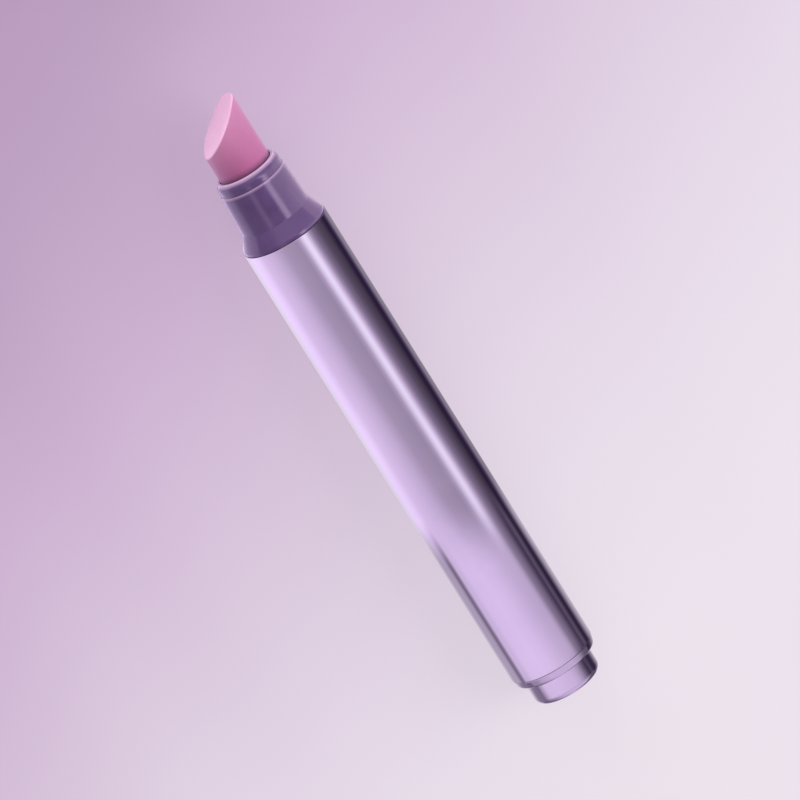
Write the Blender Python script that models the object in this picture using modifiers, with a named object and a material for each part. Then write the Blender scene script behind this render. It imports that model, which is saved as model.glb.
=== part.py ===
"""Nail care pen with a push button, a ratchet and lead screw feed, and a pull-off cap.

The pen is modelled standing on its button, tip up, with local Z along its axis. One empty lays it down
along world +X, with its axis on X and its button's end face at the origin. The cap is off and lies in
line, beyond the tip. All lengths are metres.
"""

import math

import bmesh
import bpy
from mathutils import Vector

# Driving sizes of the whole pen
BARREL_DIAMETER = 0.0130
BARREL_WALL = 0.0008
BARREL_LENGTH = 0.0730
CAP_LENGTH = 0.0385
TIP_TO_CAP = 0.0235

# Clearances
FIT_GAP = 0.00012
SLIDE_GAP = 0.00018
SEAM_GAP = 0.0002
END_GAP = 0.0003

# Facets and shading
SIDES = 32
FILLET_STEPS = 2
MERGE_DISTANCE = 0.000001
SHARP_ANGLE = math.radians(28)
CUT_OVERRUN = 0.0010

# Button and end ring
BUTTON_STEP = 0.0014
BUTTON_WALL = 0.0007
BUTTON_EXPOSED = 0.0037
BUTTON_STROKE = 0.0022
BUTTON_EDGE = 0.0006
BUTTON_LIP = 0.0008
RING_INSET = 0.0001
RING_BAND = 0.0013
RING_EDGE = 0.0007
RING_STEM = 0.0030

# Ratchet
TEETH = 8
TOOTH_HEIGHT = 0.0008
CAM_FLOOR = 0.0012
CAM_WALL_SHARE = 0.66
CAM_BODY_LENGTH = 0.0073
HOUSING_WALL = 0.0008
HOUSING_LIP = 0.0008
LOCK_RING_LENGTH = 0.0020
ROTOR_FLANGE = 0.0012
ROTOR_WALL_SHARE = 0.44
WASHER_THICKNESS = 0.0005
KEY_LENGTH = 0.0046

# Lead screw and nut
SCREW_SHARE = 0.38
SCREW_FLATS_SHARE = 0.72
SCREW_PITCH = 0.0020
SCREW_TAIL_EDGE = 0.0002
FEED_TURNS = 12
KEY_ENGAGEMENT = 0.0030
NUT_THICKNESS = 0.0030
NUT_HUB_WALL = 0.0012
NUT_HUB_LENGTH = 0.0012
HEAD_THICKNESS = 0.0010

# Spring
SPRING_WIRE = 0.0005
SPRING_TURNS = 9
SPRING_POINTS_PER_TURN = 10

# Piston and reservoir
RESERVOIR_WALL = 0.0008
PISTON_LENGTH = 0.0065
PISTON_RIM = 0.0009
PISTON_WALL = 0.0006
SEAL_THICKNESS = 0.0011
SEAL_LIP = 0.0012
SEAL_WAIST = 0.0004

# Collar, which the photo shows as a flared foot, a tapered tier and a sleeve above a step
PLUG_LENGTH = 0.0080
FLANGE_INSET = 0.00015
FLANGE_THICKNESS = 0.0003
FLANGE_LEDGE = 0.0003
FLARE_DEPTH = 0.00075
FLARE_HEIGHT = 0.0026
TIER_TAPER = 0.0003
COLLAR_HEIGHT = 0.0086
COLLAR_EDGE = 0.0003
COLLAR_WALL = 0.0007
SEAL_CORD = 0.0010
SEAL_STATION = 0.0034
SEAL_CORD_SIDES = 10
FEED_OUTER_RADIUS = 0.0009
FEED_BORE_RADIUS = 0.0005
FEED_INSERTION = 0.0030

# Applicator
SLEEVE_STEP = 0.00015
SLEEVE_RIM_WIDTH = 0.0008
SLEEVE_HEIGHT = 0.0023
SLEEVE_EDGE = 0.0004
SLEEVE_STEM = 0.0046
SLEEVE_STEM_WALL = 0.0010
SLEEVE_SOCKET = 0.0016
TIP_MIDDLE_HEIGHT = 0.0071
TIP_SLANT = math.radians(43)
TIP_TURN = math.radians(13)
TIP_EDGE = 0.0004
TIP_FACE_RINGS = 3

# Cap
CAP_DRAFT = 0.00015
CAP_WALL = 0.0006
CAP_TOP_THICKNESS = 0.0010
CAP_EDGE = 0.0006
CAP_LIP = 0.00012
LINER_TOP = 0.0009

# Radii that follow from the sizes above
barrel_radius = BARREL_DIAMETER / 2
barrel_bore = barrel_radius - BARREL_WALL
button_radius = barrel_radius - BUTTON_STEP
button_bore = button_radius - BUTTON_WALL
inner_radius = barrel_bore - FIT_GAP
housing_bore = inner_radius - HOUSING_WALL
reservoir_bore = inner_radius - RESERVOIR_WALL
screw_radius = housing_bore * SCREW_SHARE
screw_flat = screw_radius * SCREW_FLATS_SHARE
screw_bore = screw_radius + SLIDE_GAP
cam_radius = screw_bore + screw_radius * CAM_WALL_SHARE
rotor_bore = screw_bore + FIT_GAP
rotor_tube_radius = rotor_bore + screw_radius * ROTOR_WALL_SHARE
piston_body_radius = reservoir_bore - FIT_GAP - SEAL_THICKNESS
head_radius = piston_body_radius - PISTON_WALL - SLIDE_GAP
flange_radius = barrel_radius - FLANGE_INSET
flare_radius = flange_radius - FLANGE_LEDGE
tier_foot_radius = flare_radius - FLARE_DEPTH
tier_top_radius = tier_foot_radius - TIER_TAPER
sleeve_radius = tier_top_radius - SLEEVE_STEP
tip_radius = sleeve_radius - SLEEVE_RIM_WIDTH - FIT_GAP
cap_top_radius = barrel_radius - CAP_DRAFT
feed_travel = SCREW_PITCH * FEED_TURNS

# Stations along the axis, from the button's end face at zero to the tip
ring_foot = BUTTON_EXPOSED
barrel_foot = ring_foot + RING_BAND + SEAM_GAP
barrel_rim = barrel_foot + BARREL_LENGTH
ring_stem_end = ring_foot + RING_BAND + RING_STEM
button_lip_foot = ring_stem_end + SLIDE_GAP
button_end = button_lip_foot + BUTTON_LIP
housing_foot = button_end + BUTTON_STROKE + END_GAP
cam_foot = BUTTON_WALL + FIT_GAP
cam_floor = cam_foot + CAM_FLOOR
lock_foot = housing_foot + HOUSING_LIP + FIT_GAP
lock_crest = lock_foot + LOCK_RING_LENGTH + TOOTH_HEIGHT
rotor_crest = lock_crest + END_GAP
rotor_flange_foot = rotor_crest + TOOTH_HEIGHT
rotor_flange_end = rotor_flange_foot + ROTOR_FLANGE
washer_foot = rotor_flange_end + FIT_GAP
washer_end = washer_foot + WASHER_THICKNESS
screw_tail = cam_floor + BUTTON_STROKE + END_GAP
rotor_end = screw_tail + feed_travel + KEY_ENGAGEMENT
nut_foot = rotor_end + BUTTON_STROKE + END_GAP
nut_end = nut_foot + NUT_THICKNESS
piston_foot = nut_end + END_GAP
piston_end = piston_foot + PISTON_LENGTH
flange_foot = barrel_rim + SEAM_GAP
plug_end = flange_foot - PLUG_LENGTH
collar_top = flange_foot + COLLAR_HEIGHT
sleeve_foot = collar_top + SEAM_GAP
sleeve_rim = sleeve_foot + SLEEVE_HEIGHT
tip_middle = sleeve_rim + TIP_MIDDLE_HEIGHT
tip_apex = tip_middle + math.tan(TIP_SLANT) * tip_radius
cap_mouth = flange_foot + FLANGE_THICKNESS + SEAM_GAP
cap_travel = tip_apex + TIP_TO_CAP - cap_mouth


# Scene, collections and materials

def clear_scene():
    for item in list(bpy.data.objects):
        bpy.data.objects.remove(item, do_unlink=True)


def new_collection(name):
    collection = bpy.data.collections.new(name)
    bpy.context.scene.collection.children.link(collection)
    return collection


def new_material(name, colour, roughness, metallic):
    material = bpy.data.materials.new(name)
    material.use_nodes = True
    shader = material.node_tree.nodes["Principled BSDF"]
    shader.inputs["Base Color"].default_value = (*colour, 1.0)
    shader.inputs["Roughness"].default_value = roughness
    shader.inputs["Metallic"].default_value = metallic
    return material


def new_empty(name, parent=None, height=0.0):
    empty = bpy.data.objects.new(name, None)
    empty.parent = parent
    empty.location.z = height
    pen_parts.objects.link(empty)
    return empty


clear_scene()
pen_parts = new_collection("nail_care_pen")
cutters = new_collection("cutters")

LILAC_METAL = new_material("lilac_metal", (0.64, 0.49, 0.78), 0.12, 1.0)
PURPLE_PLASTIC = new_material("purple_plastic", (0.13, 0.08, 0.21), 0.3, 0.0)
PINK_FOAM = new_material("pink_foam", (0.80, 0.36, 0.55), 0.7, 0.0)
CLEAR_PLASTIC = new_material("clear_plastic", (0.80, 0.78, 0.84), 0.25, 0.0)
WHITE_PLASTIC = new_material("white_plastic", (0.82, 0.80, 0.83), 0.4, 0.0)
VIOLET_PLASTIC = new_material("violet_plastic", (0.34, 0.25, 0.48), 0.4, 0.0)
SPRING_STEEL = new_material("spring_steel", (0.58, 0.57, 0.56), 0.25, 1.0)
SOFT_SEAL = new_material("soft_seal", (0.70, 0.68, 0.72), 0.6, 0.0)

# The empties lay the pen down and carry what moves on it
pen_axis = new_empty("pen_axis")
pen_axis.rotation_euler.y = math.radians(90)
button_press = new_empty("button_press", pen_axis)
rotor_lift = new_empty("rotor_lift", pen_axis, washer_foot)
rotor_turn = new_empty("rotor_turn", rotor_lift)
piston_feed = new_empty("piston_feed", pen_axis, piston_foot)
screw_turn = new_empty("screw_turn", piston_feed)
cap_slide = new_empty("cap_slide", pen_axis, cap_mouth + cap_travel)


# Turned pieces: a profile of (radius, height, fillet) points and a Screw modifier

def fillet_arc(before, corner, after, radius):
    """The points of an arc that rounds one corner of a profile, no larger than its edges allow."""
    back = (before - corner).normalized()
    ahead = (after - corner).normalized()
    half = back.angle(ahead) / 2
    room = min((before - corner).length, (after - corner).length) / 2
    reach = min(radius / math.tan(half), room)
    centre = corner + (back + ahead).normalized() * (reach / math.cos(half))
    start = corner + back * reach - centre
    end = corner + ahead * reach - centre
    turn = start.angle_signed(end)
    points = []
    for step in range(FILLET_STEPS + 1):
        angle = -turn * step / FILLET_STEPS
        cosine, sine = math.cos(angle), math.sin(angle)
        arm = Vector((start.x * cosine - start.y * sine, start.x * sine + start.y * cosine))
        points.append(centre + arm)
    return points


def rounded(profile):
    """The profile with each corner that names a fillet turned into an arc."""
    corners = [Vector(point[:2]) for point in profile]
    points = []
    for index, point in enumerate(profile):
        if len(point) < 3:
            points.append(corners[index])
            continue
        after = corners[(index + 1) % len(corners)]
        points += fillet_arc(corners[index - 1], corners[index], after, point[2])
    return points


def link_piece(name, data, material, parent, collection=pen_parts):
    piece = bpy.data.objects.new(name, data)
    piece.parent = parent
    collection.objects.link(piece)
    data.materials.append(material)
    return piece


def profile_mesh(name, profile, closed):
    """A chain of edges in the XZ plane, closed where the profile doesn't end on the axis."""
    points = [(point.x, 0, point.y) for point in rounded(profile)]
    edges = [(index, index + 1) for index in range(len(points) - 1)]
    if closed:
        edges.append((len(points) - 1, 0))
    mesh = bpy.data.meshes.new(name)
    mesh.from_pydata(points, edges, [])
    return mesh


def baked(piece):
    """Turns the piece's modifiers into its mesh, and merges what meets on the axis."""
    bpy.context.view_layer.update()
    evaluated = piece.evaluated_get(bpy.context.evaluated_depsgraph_get())
    mesh = bpy.data.meshes.new_from_object(evaluated)
    piece.modifiers.clear()
    piece.data = mesh
    work = bmesh.new()
    work.from_mesh(mesh)
    bmesh.ops.remove_doubles(work, verts=work.verts, dist=MERGE_DISTANCE)
    work.to_mesh(mesh)
    work.free()
    smooth(mesh)


def smooth(mesh):
    mesh.shade_smooth()
    mesh.set_sharp_from_angle(angle=SHARP_ANGLE)


def turned(name, profile, material, parent, base=0.0, sides=SIDES, collection=pen_parts):
    """A turned piece. Its profile runs down the outer side; base is the height of its parent."""
    closed = profile[0][0] > 0
    lowered = [(point[0], point[1] - base, *point[2:]) for point in profile]
    piece = link_piece(name, profile_mesh(name, lowered, closed), material, parent, collection)
    piece.rotation_euler.z = math.pi / sides
    screw = piece.modifiers.new("turned", "SCREW")
    screw.axis = "Z"
    screw.steps = sides
    screw.render_steps = sides
    screw.use_merge_vertices = True
    screw.merge_threshold = MERGE_DISTANCE
    baked(piece)
    return piece


def cut(piece, cutter):
    boolean = piece.modifiers.new(cutter.name, "BOOLEAN")
    boolean.operation = "DIFFERENCE"
    boolean.solver = "EXACT"
    boolean.object = cutter
    cutter.hide_render = True
    cutter.display_type = "WIRE"


def box_cutter(name, size, centre, parent):
    mesh = bpy.data.meshes.new(name)
    work = bmesh.new()
    bmesh.ops.create_cube(work, size=1.0)
    bmesh.ops.scale(work, vec=size, verts=work.verts)
    bmesh.ops.translate(work, vec=centre, verts=work.verts)
    work.to_mesh(mesh)
    work.free()
    cutter = bpy.data.objects.new(name, mesh)
    cutter.parent = parent
    cutters.objects.link(cutter)
    return cutter


# Crown teeth: one face of a turned ring is lifted by a saw tooth that runs round it

def saw_tooth(angle):
    """Share of the tooth's height at an angle: it climbs over most of a tooth and drops in one facet."""
    facets_per_tooth = SIDES // TEETH
    facet = round(angle / (2 * math.pi) * SIDES) % facets_per_tooth
    return facet / (facets_per_tooth - 1)


def crown(piece, face_height):
    """Lifts the vertices that lie on a flat end face into crown teeth."""
    for vertex in piece.data.vertices:
        if abs(vertex.co.z - face_height) < MERGE_DISTANCE:
            angle = math.atan2(vertex.co.y, vertex.co.x)
            vertex.co.z += TOOTH_HEIGHT * saw_tooth(angle)
    smooth(piece.data)


# Casing: barrel, end ring and push button

def make_barrel():
    rim_edge = BARREL_WALL / 3
    profile = [
        (barrel_radius, barrel_rim, rim_edge),
        (barrel_radius, barrel_foot, rim_edge),
        (barrel_bore, barrel_foot),
        (barrel_bore, barrel_rim),
    ]
    turned("barrel", profile, LILAC_METAL, pen_axis)


def make_end_ring():
    """The ring's band closes the barrel's end, and its stem guides the button."""
    bore = button_radius + SLIDE_GAP
    band_radius = barrel_radius - RING_INSET
    shoulder = ring_foot + RING_BAND
    profile = [
        (inner_radius, ring_stem_end),
        (inner_radius, shoulder),
        (band_radius, shoulder, RING_EDGE),
        (band_radius, ring_foot, RING_EDGE),
        (bore, ring_foot),
        (bore, ring_stem_end),
    ]
    turned("end_ring", profile, LILAC_METAL, pen_axis)


def make_push_button():
    """A cup whose lip catches behind the ring's stem."""
    profile = [
        (0, BUTTON_WALL),
        (button_bore, BUTTON_WALL),
        (button_bore, button_end),
        (inner_radius, button_end),
        (inner_radius, button_lip_foot),
        (button_radius, button_lip_foot),
        (button_radius, 0, BUTTON_EDGE),
        (0, 0),
    ]
    turned("push_button", profile, LILAC_METAL, button_press)


# Ratchet mechanism

def make_button_cam():
    """Plunger in the button: a body as wide as the button's bore, then a sleeve with crown teeth."""
    body_radius = button_bore - FIT_GAP
    body_end = cam_foot + CAM_BODY_LENGTH
    crown_foot = lock_crest - TOOTH_HEIGHT
    profile = [
        (0, cam_floor),
        (screw_bore, cam_floor),
        (screw_bore, crown_foot),
        (cam_radius, crown_foot),
        (cam_radius, body_end),
        (body_radius, body_end),
        (body_radius, cam_foot),
        (0, cam_foot),
    ]
    cam = turned("button_cam", profile, VIOLET_PLASTIC, button_press)
    crown(cam, crown_foot)


def make_mechanism_housing():
    """Sleeve in the barrel, with a lip at its foot that the lock ring sits on."""
    lip_end = housing_foot + HOUSING_LIP
    end = nut_foot - FIT_GAP
    profile = [
        (inner_radius, end),
        (inner_radius, housing_foot),
        (button_bore, housing_foot),
        (button_bore, lip_end),
        (housing_bore, lip_end),
        (housing_bore, end),
    ]
    turned("mechanism_housing", profile, WHITE_PLASTIC, pen_axis)


def make_lock_ring():
    crown_foot = lock_crest - TOOTH_HEIGHT
    outer = housing_bore - FIT_GAP
    bore = cam_radius + SLIDE_GAP
    profile = [(outer, crown_foot), (outer, lock_foot), (bore, lock_foot), (bore, crown_foot)]
    ring = turned("lock_ring", profile, WHITE_PLASTIC, pen_axis)
    crown(ring, crown_foot)


def make_ratchet_rotor():
    """Crown wheel on a drive tube. Its mouth is keyed to the lead screw's two flats."""
    outer = housing_bore - SLIDE_GAP
    key_foot = rotor_end - KEY_LENGTH
    key_bore = screw_flat + SLIDE_GAP
    profile = [
        (rotor_tube_radius, rotor_end),
        (rotor_tube_radius, rotor_flange_end),
        (outer, rotor_flange_end),
        (outer, rotor_crest),
        (rotor_bore, rotor_crest),
        (rotor_bore, key_foot),
        (key_bore, key_foot),
        (key_bore, rotor_end),
    ]
    rotor = turned("ratchet_rotor", profile, VIOLET_PLASTIC, rotor_turn, base=washer_foot)
    crown(rotor, rotor_crest - washer_foot)
    cut(rotor, rotor_keyway(key_foot, key_bore))


def rotor_keyway(key_foot, half_width):
    """Cutter as wide as the screw, with the screw's flats."""
    end = rotor_end + CUT_OVERRUN
    foot = key_foot - CUT_OVERRUN
    profile = [(0, end), (screw_bore, end), (screw_bore, foot), (0, foot)]
    keyway = turned(
        "rotor_keyway", profile, VIOLET_PLASTIC, rotor_turn, base=washer_foot, collection=cutters
    )
    cut_flats(keyway, half_width, screw_bore, foot - CUT_OVERRUN, end + CUT_OVERRUN, washer_foot)
    return keyway


def cut_flats(piece, half_width, radius, foot, end, base):
    """Two boxes take the piece down to flats at a distance from the axis."""
    depth = radius - half_width + CUT_OVERRUN
    size = (2 * radius + CUT_OVERRUN, depth, end - foot)
    for side, label in ((-1, "left"), (1, "right")):
        centre = (0, side * (half_width + depth / 2), (foot + end) / 2 - base)
        cut(piece, box_cutter(f"{piece.name}_flat_{label}", size, centre, piece.parent))


def make_thrust_washer():
    outer = housing_bore - SLIDE_GAP
    bore = rotor_tube_radius + SLIDE_GAP
    profile = [(outer, washer_end), (outer, washer_foot), (bore, washer_foot), (bore, washer_end)]
    turned("thrust_washer", profile, SPRING_STEEL, rotor_lift, base=washer_foot)


def make_return_spring():
    """An open coil between the thrust washer and the nut, midway between rotor tube and housing."""
    radius = (rotor_tube_radius + housing_bore) / 2
    wire_radius = SPRING_WIRE / 2
    foot = washer_end + FIT_GAP + wire_radius
    end = nut_foot - FIT_GAP - wire_radius
    curve = bpy.data.curves.new("return_spring", "CURVE")
    curve.dimensions = "3D"
    curve.bevel_depth = wire_radius
    curve.bevel_resolution = 1
    curve.use_fill_caps = True
    count = SPRING_TURNS * SPRING_POINTS_PER_TURN + 1
    coil = curve.splines.new("POLY")
    coil.points.add(count - 1)
    for index, point in enumerate(coil.points):
        along = index / (count - 1)
        angle = 2 * math.pi * SPRING_TURNS * along
        height = foot + (end - foot) * along
        point.co = (radius * math.cos(angle), radius * math.sin(angle), height, 1)
    link_piece("return_spring", curve, SPRING_STEEL, pen_axis)


# Feed: nut, lead screw and piston

def make_drive_nut():
    """Fixed nut: a flange between housing and reservoir, and a hub inside the reservoir's foot."""
    hub_radius = screw_bore + NUT_HUB_WALL
    flange_end = nut_end - NUT_HUB_LENGTH
    profile = [
        (hub_radius, nut_end),
        (hub_radius, flange_end),
        (inner_radius, flange_end),
        (inner_radius, nut_foot),
        (screw_bore, nut_foot),
        (screw_bore, nut_end),
    ]
    turned("drive_nut", profile, WHITE_PLASTIC, pen_axis)


def make_lead_screw():
    """Rod with two flats for the rotor's key, and a round head that turns in the piston."""
    head_foot = piston_foot + PISTON_RIM + END_GAP
    head_end = head_foot + HEAD_THICKNESS
    profile = [
        (0, head_end),
        (head_radius, head_end),
        (head_radius, head_foot),
        (screw_radius, head_foot),
        (screw_radius, screw_tail, SCREW_TAIL_EDGE),
        (0, screw_tail),
    ]
    screw = turned("lead_screw", profile, WHITE_PLASTIC, screw_turn, base=piston_foot)
    flats_foot = screw_tail - CUT_OVERRUN
    cut_flats(screw, screw_flat, screw_radius, flats_foot, piston_foot, piston_foot)


def make_piston_core():
    """Plug with a socket for the screw's head, and a front rim that drives the seal."""
    rim_radius = reservoir_bore - SLIDE_GAP - SEAL_WAIST
    socket_radius = head_radius + SLIDE_GAP
    socket_foot = piston_foot + PISTON_RIM
    socket_end = socket_foot + HEAD_THICKNESS + 2 * END_GAP
    profile = [
        (0, piston_end),
        (rim_radius, piston_end),
        (rim_radius, piston_end - PISTON_RIM),
        (piston_body_radius, piston_end - PISTON_RIM),
        (piston_body_radius, piston_foot),
        (screw_bore, piston_foot),
        (screw_bore, socket_foot),
        (socket_radius, socket_foot),
        (socket_radius, socket_end),
        (0, socket_end),
    ]
    turned("piston_core", profile, WHITE_PLASTIC, piston_feed, base=piston_foot)


def make_piston_seal():
    """Soft ring with a wiping lip at each end."""
    outer = reservoir_bore - FIT_GAP
    waist = outer - SEAL_WAIST
    bore = piston_body_radius + FIT_GAP
    foot = piston_foot
    end = piston_end - PISTON_RIM - FIT_GAP
    profile = [
        (outer, end, SEAL_WAIST / 2),
        (outer, end - SEAL_LIP, SEAL_WAIST / 2),
        (waist, end - SEAL_LIP - SEAL_WAIST),
        (waist, foot + SEAL_LIP + SEAL_WAIST),
        (outer, foot + SEAL_LIP, SEAL_WAIST / 2),
        (outer, foot, SEAL_WAIST / 2),
        (bore, foot),
        (bore, end),
    ]
    turned("piston_seal", profile, SOFT_SEAL, piston_feed, base=piston_foot)


def make_reservoir():
    foot = nut_end - NUT_HUB_LENGTH + FIT_GAP
    end = flange_foot - FIT_GAP
    profile = [
        (inner_radius, end),
        (inner_radius, foot),
        (reservoir_bore, foot),
        (reservoir_bore, end),
    ]
    turned("reservoir", profile, CLEAR_PLASTIC, pen_axis)


# Collar and applicator

def make_collar():
    """Nozzle body: plug with a seal groove, thin flange on the barrel's rim, flared foot and tier."""
    plug_radius = reservoir_bore - FIT_GAP
    groove_foot = plug_end + SEAL_STATION
    groove_end = groove_foot + SEAL_CORD + 2 * FIT_GAP
    groove_radius = plug_radius - SEAL_CORD
    socket_radius = tier_top_radius - COLLAR_WALL
    socket_foot = collar_top - SLEEVE_STEM - FIT_GAP
    feed_bore = FEED_OUTER_RADIUS + FIT_GAP
    ledge = flange_foot + FLANGE_THICKNESS
    profile = [
        (tier_top_radius, collar_top, COLLAR_EDGE),
        (tier_foot_radius, flange_foot + FLARE_HEIGHT),
        (flare_radius, ledge),
        (flange_radius, ledge),
        (flange_radius, flange_foot),
        (plug_radius, flange_foot),
        (plug_radius, groove_end),
        (groove_radius, groove_end),
        (groove_radius, groove_foot),
        (plug_radius, groove_foot),
        (plug_radius, plug_end, COLLAR_EDGE),
        (feed_bore, plug_end),
        (feed_bore, socket_foot),
        (socket_radius, socket_foot),
        (socket_radius, collar_top),
    ]
    turned("collar", profile, PURPLE_PLASTIC, pen_axis)


def make_collar_seal():
    """O-ring in the plug's groove."""
    cord_radius = SEAL_CORD / 2
    ring_radius = reservoir_bore - FIT_GAP - cord_radius + FIT_GAP / 2
    height = plug_end + SEAL_STATION + FIT_GAP + cord_radius
    profile = []
    for index in range(SEAL_CORD_SIDES):
        angle = -2 * math.pi * index / SEAL_CORD_SIDES
        radius = ring_radius + cord_radius * math.cos(angle)
        profile.append((radius, height + cord_radius * math.sin(angle)))
    turned("collar_seal", profile, SOFT_SEAL, pen_axis)


def make_feed_tube():
    foot = plug_end
    end = tip_stem_foot() + FEED_INSERTION
    profile = [
        (FEED_OUTER_RADIUS, end),
        (FEED_OUTER_RADIUS, foot),
        (FEED_BORE_RADIUS, foot),
        (FEED_BORE_RADIUS, end),
    ]
    turned("feed_tube", profile, CLEAR_PLASTIC, pen_axis, sides=SIDES // 2)


def tip_stem_foot():
    """The tip's stem stands on the floor of the collar's socket."""
    return collar_top - SLEEVE_STEM + FIT_GAP


def sleeve_stem_bore():
    return tier_top_radius - COLLAR_WALL - FIT_GAP - SLEEVE_STEM_WALL


def make_tip_sleeve():
    """Upper tier of the collar: a rounded rim round the tip, and a stem in the collar's socket."""
    stem_radius = tier_top_radius - COLLAR_WALL - FIT_GAP
    stem_foot = collar_top - SLEEVE_STEM
    rim_bore = tip_radius + FIT_GAP
    socket_floor = sleeve_rim - SLEEVE_SOCKET
    profile = [
        (sleeve_radius, sleeve_rim, SLEEVE_EDGE),
        (sleeve_radius, sleeve_foot),
        (stem_radius, sleeve_foot),
        (stem_radius, stem_foot),
        (sleeve_stem_bore(), stem_foot),
        (sleeve_stem_bore(), socket_floor),
        (rim_bore, socket_floor),
        (rim_bore, sleeve_rim),
    ]
    turned("tip_sleeve", profile, PURPLE_PLASTIC, pen_axis)


def make_applicator_tip():
    """Round foam tip, sheared at its top into the slanted face, with a stem bored for the feed tube."""
    stem_radius = sleeve_stem_bore() - FIT_GAP
    stem_foot = tip_stem_foot()
    shoulder = sleeve_rim - SLEEVE_SOCKET + FIT_GAP
    bore = FEED_OUTER_RADIUS + FIT_GAP
    bore_end = stem_foot + FEED_INSERTION + FIT_GAP
    face = [(tip_radius * ring / TIP_FACE_RINGS, tip_middle) for ring in range(TIP_FACE_RINGS)]
    profile = face + [
        (tip_radius, tip_middle, TIP_EDGE),
        (tip_radius, shoulder),
        (stem_radius, shoulder),
        (stem_radius, stem_foot),
        (bore, stem_foot),
        (bore, bore_end),
        (0, bore_end),
    ]
    tip = turned("applicator_tip", profile, PINK_FOAM, pen_axis)
    slant(tip, tip_middle - TIP_EDGE)


def slant(tip, above):
    """Shears the tip's top, so that its face rises away from the heel."""
    heel = Vector((-math.sin(TIP_TURN), math.cos(TIP_TURN)))
    turn = tip.rotation_euler.z
    for vertex in tip.data.vertices:
        if vertex.co.z > above - MERGE_DISTANCE:
            x = vertex.co.x * math.cos(turn) - vertex.co.y * math.sin(turn)
            y = vertex.co.x * math.sin(turn) + vertex.co.y * math.cos(turn)
            vertex.co.z -= math.tan(TIP_SLANT) * (x * heel.x + y * heel.y)
    smooth(tip.data)


# Cap

def cap_bore_at(height):
    """The shell's inner radius follows the draft of its outside."""
    return cap_outer_at(height) - CAP_WALL


def cap_outer_at(height):
    share = (height - cap_mouth) / CAP_LENGTH
    return barrel_radius + (cap_top_radius - barrel_radius) * share


def make_cap_shell():
    """Outer cap. Its mouth is chamfered inside, alongside the collar's flare."""
    top = cap_mouth + CAP_LENGTH
    ceiling = top - CAP_TOP_THICKNESS
    slope = (flare_radius - tier_foot_radius) / (FLARE_HEIGHT - FLANGE_THICKNESS)
    mouth_bore = flare_radius + SLIDE_GAP
    chamfer = (mouth_bore - cap_bore_at(cap_mouth)) / slope
    profile = [
        (0, top),
        (cap_outer_at(top), top, CAP_EDGE),
        (barrel_radius, cap_mouth, CAP_LIP),
        (mouth_bore, cap_mouth),
        (cap_bore_at(cap_mouth + chamfer), cap_mouth + chamfer),
        (cap_bore_at(ceiling), ceiling),
        (0, ceiling),
    ]
    turned("cap_shell", profile, LILAC_METAL, cap_slide, base=cap_mouth)


def make_cap_liner():
    """Inner cap. Its mouth clears the collar's tier, and its bore closes round the tip's sleeve."""
    foot = flange_foot + FLARE_HEIGHT + SEAM_GAP
    ceiling = cap_mouth + CAP_LENGTH - CAP_TOP_THICKNESS - FIT_GAP
    step = collar_top + END_GAP
    mouth_bore = tier_foot_radius + SLIDE_GAP
    tier_bore = tier_top_radius + SLIDE_GAP
    bore = sleeve_radius + SLIDE_GAP
    profile = [
        (0, ceiling),
        (cap_bore_at(ceiling) - FIT_GAP, ceiling),
        (cap_bore_at(foot) - FIT_GAP, foot),
        (mouth_bore, foot),
        (tier_bore, step),
        (bore, step),
        (bore, ceiling - LINER_TOP),
        (0, ceiling - LINER_TOP),
    ]
    turned("cap_liner", profile, WHITE_PLASTIC, cap_slide, base=cap_mouth)


make_barrel()
make_end_ring()
make_push_button()
make_button_cam()
make_mechanism_housing()
make_lock_ring()
make_ratchet_rotor()
make_thrust_washer()
make_return_spring()
make_drive_nut()
make_lead_screw()
make_piston_core()
make_piston_seal()
make_reservoir()
make_collar()
make_collar_seal()
make_feed_tube()
make_tip_sleeve()
make_applicator_tip()
make_cap_shell()
make_cap_liner()
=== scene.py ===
"""Looks of the nail care pen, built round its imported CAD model. All lengths are metres."""

import math

import bmesh
import bpy
from mathutils import Matrix, Vector


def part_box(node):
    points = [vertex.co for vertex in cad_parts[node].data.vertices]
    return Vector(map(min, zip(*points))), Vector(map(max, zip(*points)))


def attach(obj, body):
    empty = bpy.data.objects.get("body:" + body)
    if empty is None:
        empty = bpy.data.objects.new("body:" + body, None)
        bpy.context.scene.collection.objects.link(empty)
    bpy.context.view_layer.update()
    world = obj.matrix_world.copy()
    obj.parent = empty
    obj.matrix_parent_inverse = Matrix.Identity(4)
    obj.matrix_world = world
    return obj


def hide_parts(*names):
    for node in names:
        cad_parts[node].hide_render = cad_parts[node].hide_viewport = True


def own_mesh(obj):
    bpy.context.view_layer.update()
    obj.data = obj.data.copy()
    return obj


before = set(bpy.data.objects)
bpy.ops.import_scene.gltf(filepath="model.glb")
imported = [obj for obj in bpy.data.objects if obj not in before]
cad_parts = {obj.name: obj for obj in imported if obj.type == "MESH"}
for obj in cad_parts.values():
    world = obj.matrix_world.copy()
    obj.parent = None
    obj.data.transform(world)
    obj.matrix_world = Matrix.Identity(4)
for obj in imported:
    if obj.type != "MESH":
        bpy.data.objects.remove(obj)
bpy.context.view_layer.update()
mm = 0.001


# Barrel
# The pen's outer tube: plastic, injection moulded, vacuum metallised to a lilac mirror and lacquered.
# Everything else is pressed into it from its two ends, so it carries no seam and no screw.

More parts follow.
